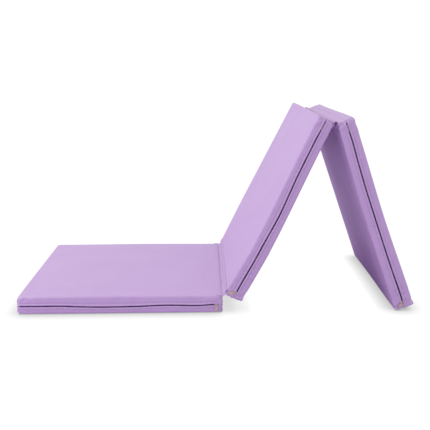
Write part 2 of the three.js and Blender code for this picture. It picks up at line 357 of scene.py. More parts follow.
class Nodes:
    """A small helper for building the nodes of a material or a world."""

    def __init__(self, name, world=False):
        self.owner = (bpy.data.worlds if world else bpy.data.materials).new(name)
        self.owner.use_nodes = True
        self.tree = self.owner.node_tree
        self.tree.nodes.clear()
        kind = "World" if world else "Material"
        self.output = self.tree.nodes.new(f"ShaderNodeOutput{kind}")

    def add(self, kind, inputs=None, **settings):
        made = self.tree.nodes.new(kind)
        for key, value in settings.items():
            setattr(made, key, value)
        for key, value in (inputs or {}).items():
            if isinstance(value, bpy.types.NodeSocket):
                self.tree.links.new(value, made.inputs[key])
            else:
                made.inputs[key].default_value = value
        return made

    def math(self, operation, first, second=0.0):
        return self.add("ShaderNodeMath", {0: first, 1: second}, operation=operation).outputs[0]

    def mix_colour(self, share, first, second, blend="MIX"):
        made = self.add(
            "ShaderNodeMix", {0: share, 6: first, 7: second}, data_type="RGBA", blend_type=blend)
        return made.outputs[2]

    def span(self, value, low, high):
        """The value 0 to 1 spread from low to high."""
        made = self.add("ShaderNodeMapRange", {"Value": value, "To Min": low, "To Max": high})
        return made.outputs[0]

    def noise(self, where, scale, detail=3.0, roughness=0.5):
        made = self.add(
            "ShaderNodeTexNoise",
            {"Vector": where, "Scale": scale, "Detail": detail, "Roughness": roughness})
        return made.outputs["Fac"]

    def object_place(self):
        return self.add("ShaderNodeTexCoord").outputs["Object"]

    def finish(self, shader):
        self.tree.links.new(shader.outputs[0], self.output.inputs["Surface"])
        return self.owner


def rgb(red, green, blue):
    return (red, green, blue, 1.0)


def shade_of(colour, factor):
    """A colour times a factor, with no channel above 1."""
    return rgb(*(min(1.0, channel * factor) for channel in colour))


def leather(name, colour, grain=1.0):
    """Embossed synthetic leather: pebbled grain, satin sheen, soft worn edges, painted shade in
    crevices.
    """
    n = Nodes(name)
    where = n.object_place()
    pebbles = n.add(
        "ShaderNodeTexVoronoi", {"Vector": where, "Scale": 780.0, "Randomness": 0.9},
        feature="SMOOTH_F1").outputs["Distance"]
    creases = n.noise(where, 420.0, 5.0, 0.6)
    pores = n.noise(where, 2600.0, 2.0)
    patches = n.noise(where, 9.0, 3.0)
    height = n.math("ADD", n.math("MULTIPLY", pebbles, 0.8), n.math("MULTIPLY", creases, 0.5))
    height = n.math("ADD", height, n.math("MULTIPLY", pores, 0.12))
    bump = n.add(
        "ShaderNodeBump", {"Height": height, "Strength": 0.32 * grain, "Distance": 0.0003})
    # pointiness: the outward edges pale as wear, and the inward hollows darken as painted shade
    wear_and_crevice_shade = n.add("ShaderNodeNewGeometry").outputs["Pointiness"]
    worn = n.add(
        "ShaderNodeMapRange", {"Value": wear_and_crevice_shade, "From Min": 0.505, "From Max": 0.56}).outputs[0]
    painted_crevice_shade = n.add(
        "ShaderNodeMapRange", {"Value": wear_and_crevice_shade, "From Min": 0.495, "From Max": 0.43}).outputs[0]
    base = n.mix_colour(
        n.span(patches, 0.1, 0.9), shade_of(colour, 0.92), shade_of(colour, 1.05))
    base = n.mix_colour(n.math("MULTIPLY", creases, 0.12), base, shade_of(colour, 0.8))
    base = n.mix_colour(n.math("MULTIPLY", worn, 0.25), base, rgb(0.78, 0.66, 0.84))
    # painted shade: darker where the surface curves inwards, in creases and crevices
    base = n.mix_colour(n.math("MULTIPLY", painted_crevice_shade, 0.3), base, shade_of(colour, 0.62))
    shader = n.add("ShaderNodeBsdfPrincipled", {
        "Base Color": base,
        "Roughness": n.span(n.noise(where, 60.0, 4.0), 0.42, 0.58),
        "Specular IOR Level": 0.3,
        "Sheen Weight": 0.05,
        "Sheen Roughness": 0.5,
        "Normal": bump.outputs[0],
    })
    return n.finish(shader)


def woven(name, colour, thread, relief=0.0002, sheen=0.2):
    """A plain weave of two thread directions, with the odd thicker thread and painted shade in its
    hollows.
    """
    n = Nodes(name)
    where = n.object_place()
    split = n.add("ShaderNodeSeparateXYZ", {0: where})
    across = n.math("ADD", split.outputs["X"], n.math("MULTIPLY", split.outputs["Z"], 0.6))
    along = n.math("SUBTRACT", split.outputs["Z"], n.math("MULTIPLY", split.outputs["X"], 0.6))
    warp = n.math("SINE", n.math("MULTIPLY", across, 2 * math.pi / thread))
    weft = n.math("SINE", n.math("MULTIPLY", along, 2 * math.pi / thread))
    weave = n.math("MULTIPLY", warp, weft)
    slub = n.noise(where, 300.0, 4.0)
    height = n.math("ADD", n.math("MULTIPLY", weave, 0.5), n.math("MULTIPLY", slub, 0.6))
    bump = n.add("ShaderNodeBump", {"Height": height, "Strength": 0.7, "Distance": relief})
    # painted shade and highlight: darker in the weave's hollows, paler on its crests and thick
    # threads
    shader = n.add("ShaderNodeBsdfPrincipled", {
        "Base Color": n.mix_colour(
            n.span(height, 0.2, 0.9), shade_of(colour, 0.62), shade_of(colour, 1.15)),
        "Roughness": n.span(slub, 0.7, 0.95),
        "Sheen Weight": sheen,
        "Normal": bump.outputs[0],
    })
    return n.finish(shader)


def moulded(name, colour):
    """Moulded plastic with faint flow marks."""
    n = Nodes(name)
    where = n.object_place()
    flow = n.noise(where, 500.0, 3.0)
    bump = n.add("ShaderNodeBump", {"Height": flow, "Strength": 0.2, "Distance": 0.0001})
    shader = n.add("ShaderNodeBsdfPrincipled", {
        "Base Color": n.mix_colour(flow, shade_of(colour, 0.8), rgb(*colour)),
        "Roughness": n.span(flow, 0.35, 0.5),
        "Specular IOR Level": 0.2,
        "Normal": bump.outputs[0],
    })
    return n.finish(shader)


def cast_brass(name):
    """Pale plated metal, satin, with fine scratches and darker patches."""
    n = Nodes(name)
    where = n.object_place()
    stretch = n.add("ShaderNodeMapping", {"Vector": where, "Scale": (1.0, 1.0, 14.0)}).outputs[0]
    scratches = n.noise(stretch, 900.0, 6.0, 0.65)
    tarnish = n.noise(where, 260.0, 4.0)
    bump = n.add("ShaderNodeBump", {"Height": scratches, "Strength": 0.15, "Distance": 0.00008})
    base = n.mix_colour(n.span(tarnish, 0.0, 0.8), rgb(0.74, 0.66, 0.52), rgb(0.55, 0.45, 0.31))
    shader = n.add("ShaderNodeBsdfPrincipled", {
        "Base Color": base,
        "Metallic": 0.85,
        "Roughness": n.span(scratches, 0.3, 0.55),
        "Normal": bump.outputs[0],
    })
    return n.finish(shader)


def foam(name):
    """Closed-cell foam: a skin of small pits."""
    n = Nodes(name)
    where = n.object_place()
    cells = n.add(
        "ShaderNodeTexVoronoi", {"Vector": where, "Scale": 650.0}).outputs["Distance"]
    bump = n.add("ShaderNodeBump", {"Height": cells, "Strength": 0.8, "Distance": 0.0004})
    shader = n.add("ShaderNodeBsdfPrincipled", {
        "Base Color": n.mix_colour(cells, rgb(0.9, 0.87, 0.79), rgb(0.72, 0.68, 0.6)),
        "Roughness": 0.95,
        "Normal": bump.outputs[0],
    })
    return n.finish(shader)


LILAC = (0.595, 0.417, 0.72)
cover_leather = leather("cover_leather", LILAC)
strip_leather = leather("strip_leather", tuple(c * 0.97 for c in LILAC), 0.8)
stitch_thread = woven("stitch_thread", (0.50, 0.36, 0.60), 0.5 * MM, 0.0001)
tape_weave = woven("zip_tape_weave", (0.06, 0.015, 0.12), 0.9 * MM, sheen=0.0)
tooth_plastic = moulded("zip_tooth_plastic", (0.075, 0.023, 0.14))
pull_brass = cast_brass("pull_brass")
foam_cells = foam("foam_cells")
handle_webbing = woven("handle_webbing", (0.46, 0.31, 0.57), 1.6 * MM, 0.0005)


# ---------------------------------------------------------------- the cover's grid

def graded(limit, first, growth, widest):
    """Positions from limit down to 0, with steps that widen away from limit."""
    steps = []
    step = first
    while sum(steps) < limit:
        steps.append(step)
        step = min(step * growth, widest)
    scale = limit / sum(steps)
    return [limit - scale * sum(steps[:k]) for k in range(len(steps))] + [0.0]


def edge_lines(axis):
    """The grid lines round a rounded edge, outermost first."""
    half, radius = HALF[axis], COVER["rounding"][axis]
    return [half, half - radius / 3, half - 2 * radius / 3]


def mirrored(falling):
    """Rising positions on both sides of 0, from falling ones that end at 0."""
    return np.array([-v for v in falling] + falling[-2::-1])


def long_lines():
    limit = HALF[0] - COVER["rounding"][0]
    count = round(limit / COVER["grid_length"])
    inner = [limit * (1 - k / count) for k in range(count + 1)]
    return mirrored(edge_lines(0) + inner)


def wide_lines():
    limit = HALF[1] - COVER["rounding"][1]
    inner = graded(limit, 5 * MM, 1.2, COVER["grid_width"])
    return mirrored(edge_lines(1) + inner)


XS = long_lines()
YS = wide_lines()
ROUND_LEVELS = edge_lines(2)[1:] + [HALF[2] - COVER["rounding"][2]]
SIDE_LEVELS = [15.5 * MM, 12.5 * MM, 10 * MM, 8 * MM, 6 * MM, 4 * MM]
LIP_LEVELS = [2 * MM, 1 * MM]
CLOTH_LEVELS = ROUND_LEVELS + SIDE_LEVELS + [0.0]
COVER_LEVELS = ROUND_LEVELS + SIDE_LEVELS + LIP_LEVELS + [0.0]


class HalfGrid:
    """Half of a panel's surface: a face, then rows down its sides to the seam at half height."""

    def __init__(self, levels):
        columns, rows = len(XS), len(YS)
        ids = np.arange(columns * rows).reshape(columns, rows)
        x, y = np.meshgrid(XS, YS, indexing="ij")
        points = [np.stack([x.ravel(), y.ravel(), np.full(x.size, HALF[2])], axis=1)]
        faces = grid_faces(columns, rows)
        rim = np.concatenate([ids[:, 0], ids[-1, 1:], ids[-2::-1, -1], ids[0, -2:0:-1]])
        rim_points = points[0][rim]
        above = rim
        for k, level in enumerate(levels):
            below = columns * rows + k * len(rim) + np.arange(len(rim))
            row = rim_points.copy()
            row[:, 2] = level
            points.append(row)
            for here in range(len(rim)):
                there = (here + 1) % len(rim)
                faces.append((above[here], below[here], below[there], above[there]))
            above = below
        self.points = np.concatenate(points)
        self.faces = np.array(faces)
        self.face_count = columns * rows
        self.rim = rim
        self.levels = levels
        self.seam = above

    def box_points(self, side):
        return self.points * (1, 1, side)

    def oriented(self, side):
        return self.faces if side > 0 else self.faces[:, ::-1]


def rounded(points):
    """Points of the panel's box drawn onto its rounded form, and the outward directions there."""
    radius = COVER["rounding"]
    core = np.clip(points, -(HALF - radius), HALF - radius)
    direction = (points - core) / radius
    direction /= np.linalg.norm(direction, axis=1, keepdims=True)
    outward = direction / radius
    outward /= np.linalg.norm(outward, axis=1, keepdims=True)
    return core + radius * direction, outward


# ---------------------------------------------------------------- cloth simulation

cloth_grid = HalfGrid(CLOTH_LEVELS)
cover_grid = HalfGrid(COVER_LEVELS)


def from_edges(points):
    """How far a point of the box's surface is from the box's nearest edge between two sides."""
    gaps = np.sort(HALF - np.abs(points), axis=1)
    return gaps[:, 1]


def simulate(number):
    """Swells the closed cover of a panel as cloth. Returns how far each half's points move."""
    count = len(cloth_grid.points)
    upper = cloth_grid.box_points(1)
    lower = cloth_grid.box_points(-1)
    seam = set(cloth_grid.seam.tolist())
    free = [i for i in range(count) if i not in seam]
    lower_ids = np.arange(count)
    lower_ids[free] = count + np.arange(len(free))
    box = np.concatenate([upper, lower[free]])
    start, _ = rounded(box)
    faces = list(cloth_grid.oriented(1)) + list(lower_ids[cloth_grid.oriented(-1)])
    draft = mesh_object("cloth_draft", start, faces, None)

    on_face = np.abs(box[:, 2]) > HALF[2] - 1e-6
    inland = from_edges(box)
    hold = np.where(on_face, 0.9 - 0.62 * smoothstep(8 * MM, 60 * MM, inland), 0.55)
    hold = np.where(inland < 1.05 * COVER["rounding"][0], 0.93, hold)
    hold[cloth_grid.seam] = 1.0
    slack = 0.5 + 0.5 * waves(box.T, 60 * MM, 220 * MM, 40 + number)
    slack = np.clip(slack, 0, 1)
    holding = draft.vertex_groups.new(name="hold")
    growing = draft.vertex_groups.new(name="grow")
    for i in range(len(box)):
        holding.add([i], float(hold[i]), "REPLACE")
        growing.add([i], float(slack[i]), "REPLACE")

    cloth = draft.modifiers.new("cloth", "CLOTH")
    settings = cloth.settings
    settings.quality = 5
    settings.mass = 0.2
    settings.tension_stiffness = 12
    settings.compression_stiffness = 12
    settings.shear_stiffness = 4
    settings.bending_stiffness = 0.4
    settings.use_pressure = True
    settings.uniform_pressure_force = CLOTH["pressure"]
    settings.effector_weights.gravity = 0
    settings.vertex_group_mass = "hold"
    settings.pin_stiffness = 0.6
    settings.vertex_group_shrink = "grow"
    settings.shrink_min = 0
    settings.shrink_max = -CLOTH["growth"]
    cloth.collision_settings.use_collision = False
    cloth.collision_settings.use_self_collision = False
    cloth.point_cache.frame_start = 1
    cloth.point_cache.frame_end = CLOTH["frames"]
    for step in range(1, CLOTH["frames"] + 1):
        bpy.context.scene.frame_set(step)
    moved, _ = evaluated(draft)
    bpy.context.scene.frame_set(1)
    discard(draft)

    shift = moved - start
    length = np.linalg.norm(shift, axis=1, keepdims=True)
    shift *= np.minimum(1, CLOTH["cap"] / np.maximum(length, 1e-9))
    return {1: shift[:count], -1: shift[lower_ids]}


def rows_between(shift):
    """A cloth grid's movement carried to the cover grid, which has more rows at the lip."""
    face = shift[:cloth_grid.face_count]
    width = len(cloth_grid.rim)
    rows = shift[cloth_grid.face_count:].reshape(len(CLOTH_LEVELS), width, 3)
    made = []
    for level in COVER_LEVELS:
        k = max(i for i, known in enumerate(CLOTH_LEVELS) if known >= level - 1e-9)
        following = min(k + 1, len(CLOTH_LEVELS) - 1)
        gap = CLOTH_LEVELS[k] - CLOTH_LEVELS[following]
        share = (CLOTH_LEVELS[k] - level) / gap if gap else 0.0
        made.append(rows[k] * (1 - share) + rows[following] * share)
    return np.concatenate([face, *made])


# ---------------------------------------------------------------- covers

def slit_share(x):
    """1 along the zip's slit and 0 beyond its ends."""
    opening = smoothstep(-HALF[0] + LIP["open_end"], -HALF[0] + LIP["open_end"] + LIP["taper"], x)
    closing = smoothstep(HALF[0] - LIP["closed_end"] - LIP["taper"], HALF[0] - LIP["closed_end"], x)
    return opening * (1 - closing)


def slit_course(x, number):
    """The slit wanders a little off half height."""
    bound = smoothstep(22 * MM, 75 * MM, HALF[0] - np.abs(x))
    course = 1.1 * MM * bound * waves(x, 160 * MM, 420 * MM, 70 + number, 4)
    if number == 1:
        opened, middle, closed = LOW_SLIT
        end = np.where(x < 0, opened, closed)
        course -= middle + (end - middle) * smoothstep(0, HALF[0], np.abs(x))
    return course


def fall_off(distance, width):
    """1 at no distance, fading to 0 over about twice the width."""
    return np.exp(-(distance / width) ** 2)


def parted_sides(panel, side, box, on_face, share, seed):
    """Where the two halves part at the slit and meet at the seam.

    Returns the points of the box moved up or down its sides, and how far each lies behind the
    side's surface where the edge turns in.
    """
    x, y, z = box.T
    height = np.abs(z)
    on_front = (y < -HALF[1] + 1e-6) & ~on_face
    gap = LIP["seam_half_gap"] + share * (LIP["slit_half_gap"] - LIP["seam_half_gap"])
    gap = gap + share * LIP["waver"] * waves(x, 30 * MM, 120 * MM, seed + 1)
    angle = np.minimum(height / LIP["roll"], math.pi / 2)
    rolled = gap + LIP["roll"] * (1 - np.cos(angle))
    arc = LIP["roll"] * math.pi / 2
    spread = gap + LIP["roll"]
    beyond = spread + (height - arc) * (LIP["reach"] - spread) / (LIP["reach"] - arc)
    lifted = np.where(height < arc, rolled, beyond)
    lifted = np.where(height < LIP["reach"], lifted, height)
    fading = 1 - smoothstep(4 * MM, 18 * MM, height)
    course = slit_course(x, panel.number) * fading * on_front
    depth = LIP["roll"] * (1 - np.sin(angle))
    place = np.stack([x, y, side * lifted + course], axis=1)
    place[on_face] = box[on_face]
    return place, np.where(on_face, 0, depth)


def hem_relief(height, share):
    """The ridges beside the slit, held down by the stitching between them."""
    ridge = fall_off(height - HEM["crest"], HEM["crest_width"])
    second = fall_off(height - HEM["second_crest"], HEM["second_width"])
    raised = HEM["puff"] * ridge + HEM["second_share"] * HEM["puff"] * second
    relief = (share + HEM["beyond_zip"] * (1 - share)) * raised
    dimple = fall_off(height - HEM["stitch_line"], HEM["stitch_width"])
    return relief - share * HEM["stitch_depth"] * dimple


def side_relief(along, height, share, seed):
    """Puckers that the stitching draws in beside the slit, and long waves of the side."""
    slant = along + 0.5 * height * np.sign(waves(along, 150 * MM, 300 * MM, seed + 2))
    near = smoothstep(0, 3 * MM, height) * (1 - smoothstep(9 * MM, 20 * MM, height))
    strength = 0.55 + 0.45 * waves(along, 70 * MM, 200 * MM, seed + 3)
    pucker = PUCKER["height"] * near * strength
    pucker = pucker * waves(slant, PUCKER["shortest"], PUCKER["longest"], seed + 4, 6)
    pucker = pucker * (0.35 + 0.65 * share)
    ripple = RIPPLE["height"] * waves(slant, RIPPLE["shortest"], RIPPLE["longest"], seed + 5)
    ripple = ripple * smoothstep(0, 8 * MM, height)
    return pucker + ripple * (1 - smoothstep(17 * MM, 24 * MM, height))


def corner_relief(box, on_front, seed):
    """Dents, and gathers that fan out from the front corners."""
    x, y, z = box.T
    height = np.abs(z)
    from_corner = np.hypot(HALF[0] - np.abs(x), HALF[1] + y)
    above_seam = smoothstep(0, 4 * MM, height)
    above_zip = smoothstep(*BY_ZIP, height)
    pattern = 0.5 + 0.5 * waves(np.stack([x, y, 1.5 * z]), 16 * MM, 34 * MM, seed + 7, 5)
    dent = DENT["depth"] * np.exp(-from_corner / DENT["reach"]) * np.clip(pattern, 0, 1.3)
    dent = dent * above_seam
    dent = dent * np.where(on_front, DENT["by_zip"] + (1 - DENT["by_zip"]) * above_zip, 1)
    bearing = np.arctan2(height, HALF[0] - np.abs(x) + HALF[1] + y + 1 * MM)
    gather = GATHER["height"] * np.exp(-from_corner / GATHER["reach"])
    gather = gather * np.sin(GATHER["folds"] * bearing + seed)
    return gather * np.where(on_front, above_zip, above_seam) - dent


def face_relief(box, on_face, inland, seed):
    """Broad slackness of the face, drag lines from its corners, and its crown."""
    x, y, _ = box.T
    open_face = smoothstep(18 * MM, 75 * MM, inland) * on_face
    slack = FACE["slack"] * waves(np.stack([x, y]), 130 * MM, 340 * MM, seed + 6)
    corner = np.hypot(HALF[0] - np.abs(x), HALF[1] - np.abs(y))
    bearing = np.arctan2(HALF[1] - np.abs(y), HALF[0] - np.abs(x))
    drag = FACE["drag"] * np.sin(FACE["drag_lines"] * bearing + 3 * np.sign(x) + 2 * np.sign(y))
    drag = drag * fall_off(corner - FACE["drag_from_corner"], FACE["drag_width"])
    crown = FACE["crown"] * smoothstep(8 * MM, FACE["crown_reach"], inland)
    return open_face * (slack + drag) + crown * on_face


def cover_half(panel, half, shift):
    """One half of a panel's cover as (vertices in the panel's axes, faces, grid places)."""
    side = panel.side[half]
    seed = 100 * panel.number + (10 if side > 0 else 20)
    faces = cover_grid.oriented(side)
    box, fine_faces = subdivide(cover_grid.box_points(side), faces, smooth=False)
    if shift is None:
        swell = np.zeros_like(box)
    else:
        swell, _ = subdivide(rows_between(shift), faces, smooth=True)

    x, y, z = box.T
    height = np.abs(z)
    on_face = height > HALF[2] - 1e-6
    on_front = (y < -HALF[1] + 1e-6) & ~on_face
    along = np.where(np.abs(y) > HALF[1] - 1e-6, x, y)
    inland = from_edges(box)
    share = slit_share(x) * on_front
    place, depth = parted_sides(panel, side, box, on_face, share, seed)
    surface, outward = rounded(place)

    hem = np.where(on_face, 0, hem_relief(height, share))
    wrinkles = np.where(on_face, 0, side_relief(along, height, share, seed))
    face = face_relief(box, on_face, inland, seed)
    edge = np.maximum(HALF[0] - np.abs(x), HALF[1] - np.abs(y))
    seam_line = SEAM_LINE["depth"] * fall_off(edge, SEAM_LINE["width"]) * ~on_face

    if panel.number == 1 and panel.axes[2][2] * side < 0:
        # the underside rests on the floor, so it is flat and fills the CAD cover
        face = np.where(on_face, COVER["inset"] * smoothstep(6 * MM, 16 * MM, inland), 0)
        swell[on_face] = 0
    swell[on_face] *= smoothstep(0, 16 * MM, inland)[on_face][:, None]
    swell[~on_face] *= smoothstep(0, 5 * MM, height)[~on_face][:, None]

    offset = hem + wrinkles + face + corner_relief(box, on_front, seed) - seam_line - depth
    points = surface + outward * offset[:, None] + swell
    return stuffed(panel, points), fine_faces, box


def build_covers():
    """Both halves of each panel's cover. Returns their points and grid places for stitching."""
    surfaces = {}
    for number, panel in panels.items():
        shifts = simulate(number)
        for half in HALVES:
            points, faces, box = cover_half(panel, half, shifts[panel.side[half]])
            name = f"panel_{number}_cover_{half}"
            cover = mesh_object(name, panel.place(points), faces, cover_leather)
            skin = cover.modifiers.new("skin", "SOLIDIFY")
            skin.thickness = COVER["thickness"]
            skin.offset = -1
            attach(cover, panel.body)
            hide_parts(f"cover_{half}_{number}")
            surfaces[number, half] = (points, box)
    return surfaces


# ---------------------------------------------------------------- stitching

def stitch_shape():
    """One stitch along x: a short six-sided capsule with its ends drawn down."""
    length, radius = STITCH["length"], STITCH["radius"]
    rings = [(-0.5, 0.35, -0.9), (-0.36, 1.0, 0.0), (0.36, 1.0, 0.0), (0.5, 0.35, -0.9)]
    turns = [2 * math.pi * k / 6 for k in range(6)]
    points = []
    for share, swell, drop in rings:
        for turn in turns:
            y = swell * radius * math.cos(turn)
            z = swell * radius * math.sin(turn) + drop * radius
            points.append((share * length, y, z))
    return np.array(points), tube_faces(len(rings), len(turns))


def stitches(name, lines, body):
    """Stitches along lines. Each line is (points, outward directions) in the scene's axes."""
    shape, shape_faces = stitch_shape()
    points, faces = [], []
    for line, outward in lines:
        gaps = np.linalg.norm(np.diff(line, axis=0), axis=1)
        run = np.concatenate([[0], np.cumsum(gaps)])
        for at in np.arange(STITCH["pitch"] / 2, run[-1], STITCH["pitch"]):
            here = np.array([np.interp(at, run, line[:, k]) for k in range(3)])
            before = np.array([np.interp(at - 1 * MM, run, line[:, k]) for k in range(3)])
            after = np.array([np.interp(at + 1 * MM, run, line[:, k]) for k in range(3)])
            out = unit([np.interp(at, run, outward[:, k]) for k in range(3)])
            ahead = unit(after - before)
            across = unit(np.cross(out, ahead))
            out = np.cross(ahead, across)
            offset = len(points) * len(shape)
            faces += [tuple(i + offset for i in face) for face in shape_faces]
            points.append(shape @ np.array([ahead, across, out]) + here + out * 0.1 * MM)
    made = mesh_object(name, np.concatenate(points), faces, stitch_thread)
    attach(made, body)


def stitch_hems(surfaces):
    """A row of stitches on either side of each zip's slit."""
    for number, panel in panels.items():
        lines = []
        for half in HALVES:
            points, box = surfaces[number, half]
            on_row = np.abs(np.abs(box[:, 2]) - HEM["stitch_line"]) < 1e-6
            on_front = box[:, 1] < -HALF[1] + 1e-6
            reach = HALF[0] - HEM["stitch_end"]
            inside = (box[:, 0] > -reach) & (box[:, 0] < reach)
            row = points[on_row & on_front & inside]
            row = panel.place(row[np.argsort(row[:, 0])])
            lines.append((row, np.repeat([(0.0, -1.0, 0.0)], len(row), axis=0)))
        stitches(f"panel_{number}_zip_stitching", lines, panel.body)


# ---------------------------------------------------------------- zips

def ribbon(section, start, end, step):
    """A strip of constant section along x. The section is a closed loop of (y, z)."""
    count = max(2, round((end - start) / step) + 1)
    points = [(x, y, z) for x in np.linspace(start, end, count) for y, z in section]
    return points, tube_faces(count, len(section))


def tooth(x, side):
    """One moulded tooth, reaching over the middle between two teeth of the other row."""
    half = TOOTH["width"] / 2
    front, back = TOOTH["front"], TOOTH["back"]
    root, neck, tip = 2.7 * MM, 1.1 * MM, -0.35 * MM
    middle = (front + back) / 2
    outline = [
        (0.75, front), (1.0, middle), (0.75, back), (-0.75, back), (-1.0, middle),
        (-0.75, front),
    ]
    levels = [(root, 1.0), (neck, 0.75), (0.4 * MM, 0.95), (tip, 0.6)]
    points = []
    for height, size in levels:
        for share, depth in outline:
            deep = middle + (depth - middle) * (0.7 + 0.3 * size)
            points.append((x + share * half * size, -CAD_HALF[1] + deep, side * height))
    faces = [tuple(range(6)), tuple(range(18, 24))[::-1]]
    for level in range(3):
        for k in range(6):
            a, b = 6 * level + k, 6 * level + (k + 1) % 6
            faces.append((a, a + 6, b + 6, b))
    if side < 0:
        faces = [face[::-1] for face in faces]
    return points, faces


def build_zips():
    """Behind each slit, two tapes with their interlocking teeth."""
    for number, panel in panels.items():
        for half in HALVES:
            side = panel.side[half]
            reach = CAD_HALF[0] - ZIP["tape_end"]
            front = -CAD_HALF[1]
            back = front + ZIP["tape_thickness"]
            section = ZIP["tape_section"]
            loop = [(front + depth, side * height) for depth, height in section]
            loop += [(back + depth, side * height) for depth, height in section[::-1]]
            loop = loop if side > 0 else loop[::-1]
            points, faces = ribbon(loop, -reach, reach, ZIP["tape_step"])
            points = stuffed(panel, points)
            name = f"panel_{number}_zip_tape_{half}"
            cloth = mesh_object(name, panel.place(points), faces, tape_weave, smooth=False)
            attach(cloth, panel.body)
            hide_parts(f"zip_tape_{half}_{number}")

            points, faces = [], []
            shift = 0 if side > 0 else TOOTH["pitch"] / 2
            first, last = -reach + ZIP["no_teeth_open"], reach - ZIP["no_teeth_closed"]
            for x in np.arange(first, last, TOOTH["pitch"]):
                more, more_faces = tooth(x + shift, side)
                faces += [tuple(i + len(points) for i in face) for face in more_faces]
                points += more
            name = f"panel_{number}_zip_teeth_{half}"
            points = stuffed(panel, points)
            teeth = mesh_object(name, panel.place(points), faces, tooth_plastic)
            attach(teeth, panel.body)


def finish_hardware():
    """The CAD's sliders, pulls and stops keep their shape, with softened edges."""
    for name, node in frame["nodes"].items():
        if not name.startswith(("zip_slider", "pull_", "zip_closed_stop", "zip_open_stop")):
            continue
        node.data.materials.clear()
        node.data.materials.append(tooth_plastic if "stop" in name else pull_brass)
        soften = node.modifiers.new("soften", "BEVEL")
        soften.width = 0.22 * MM
        soften.segments = 2
        soften.limit_method = "ANGLE"
        soften.angle_limit = math.radians(35)


def build_foam():
    """Each cover's foam block, with soft corners and cut a little small."""
    grid = HalfGrid(CLOTH_LEVELS)
    for number, panel in panels.items():
        points, faces = [], []
        lower = np.arange(len(grid.points)) + len(grid.points)
        lower[grid.seam] = grid.seam
        for side in (1, -1):
            surface, outward = rounded(grid.box_points(side))
            dip = 0.3 * MM * waves(surface.T, 40 * MM, 130 * MM, 600 + 10 * number + side)
            points.append(surface - outward * (FOAM["gap"] - dip)[:, None])
            ids = np.arange(len(grid.points)) if side > 0 else lower
            faces += list(ids[grid.oriented(side)])
        used, faces = np.unique(faces, return_inverse=True)
        block = stuffed(panel, np.concatenate(points)[used])
        core = mesh_object(
            f"panel_{number}_foam", panel.place(block), faces.reshape(-1, 4), foam_cells)
        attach(core, panel.body)
        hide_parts(f"foam_core_{number}")


# ---------------------------------------------------------------- fold strips

def strip_section():
    """The strip's middle line with the mat flat, about the fold line.

    Returns its rows as (across, out), where across runs from the first panel to the second and
    out is away from the gap between their ends; how far along the free part each row lies, from
    0 to 1; and how far each row follows the second panel, also from 0 to 1.
    """
    corner = joint_gap() + COVER["inset"] + COVER["rounding"][0]
    radius = COVER["rounding"][0] + STRIP["lift"]
    rows = []
    flange_end = joint_gap() + STRIP["flange"]
    for x in np.linspace(flange_end, corner, 6)[:-1]:
        rows.append((-x, -corner + radius))
    for turn in np.radians(np.linspace(90, STRIP["hug"], 9)):
        rows.append((-corner + radius * math.cos(turn), -corner + radius * math.sin(turn)))
    bridge, lowest = rows[-1]
    fall = -bridge * math.tan(math.radians(90 - STRIP["hug"])) / 2
    for share in np.linspace(1, 0, 6)[1:]:
        rows.append((bridge * share, lowest - fall * (1 - share ** 2)))
    rows += [(-x, out) for x, out in rows[-2::-1]]
    rows = np.array(rows)
    run = np.concatenate([[0], np.cumsum(np.linalg.norm(np.diff(rows, axis=0), axis=1))])
    first = run[5]
    last = run[-6]
    share = smoothstep(first, last, run)
    return rows, np.clip((run - first) / (last - first), 0, 1), share


def joint_gap():
    """From the fold line to the panels' ends, and to their faces."""
    return joints["fold_1_2"]["pos_m"][0] - CAD_HALF[0]


def build_strip(name, joint_name, across, out, nodes, seed):
    """A leather strip sewn on either side of a fold.

    across points from the fold along the second panel as it would lie flat, and out away from
    the gap between the panels' ends.
    """
    joint = joints[joint_name]
    first, second = joint["parent"], joint["child"]
    hinge = np.array(joint["pos_m"])
    turn = -math.radians(joint["range_deg"][0])
    rows, progress, share = strip_section()
    along = np.gradient(rows, axis=0)
    normal = np.stack([-along[:, 1], along[:, 0]], axis=1)
    normal /= np.linalg.norm(normal, axis=1, keepdims=True)
    half = CAD_HALF[1] - STRIP["end_inset"]
    ys = np.linspace(-half, half, round(2 * half / STRIP["column"]) + 1)
    deep = np.exp(-((progress - 0.5) / 0.2) ** 2)
    from_end = np.minimum(np.arange(len(rows)), np.arange(len(rows))[::-1])
    half_thick = STRIP["thickness"] / 2 * (0.4 + 0.6 * np.clip(from_end / 2, 0, 1))
    layers = []
    for layer in (1, -1):
        grid = np.empty((len(rows), len(ys), 3))
        for j, y in enumerate(ys):
            wander = 0.45 * MM * waves(np.array([y]), 60 * MM, 200 * MM, seed)[0]
            bend = rows + np.outer(deep, (0, wander)) + normal * layer * half_thick[:, None]
            angle = turn * share
            p = bend[:, 0] * np.cos(angle) - bend[:, 1] * np.sin(angle)
            q = bend[:, 0] * np.sin(angle) + bend[:, 1] * np.cos(angle)
            grid[:, j] = hinge + np.outer(p, across) + np.outer(q, out)
            grid[:, j, 1] = y
        layers.append(grid)
    points, faces = slab(layers[0], layers[1])
    unrolled = np.zeros_like(points)
    unrolled[:, 0] = np.tile(np.repeat(progress, len(ys)), 2)
    strip = mesh_object(name, unrolled, faces, strip_leather)
    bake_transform(strip)
    strip.data.vertices.foreach_set("co", points.ravel())
    strip.data.update()
    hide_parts(*nodes)

    # rows of stitches on the two flanges
    for body, row, direction in ((first, 1, 1), (second, -2, -1)):
        line = layers[0][row]
        other = layers[1][row]
        outward = line - other
        stitches(f"{name}_stitching_{body}", [(line, outward)], body)


def build_strips():
    first, second = panels[1], panels[2]
    build_strip(
        "fold_strip_12", "fold_1_2", first.axes[0], np.array((0.0, 0.0, 1.0)),
        ("fold_strip_12_on_1", "fold_strip_12_on_2"), 501)
    along_second = -second.axes[0]
    below_second = second.axes[2]
    build_strip(
        "fold_strip_23", "fold_2_3", along_second, below_second,
        ("fold_strip_23_on_2", "fold_strip_23_on_3"), 502)


# ---------------------------------------------------------------- handles

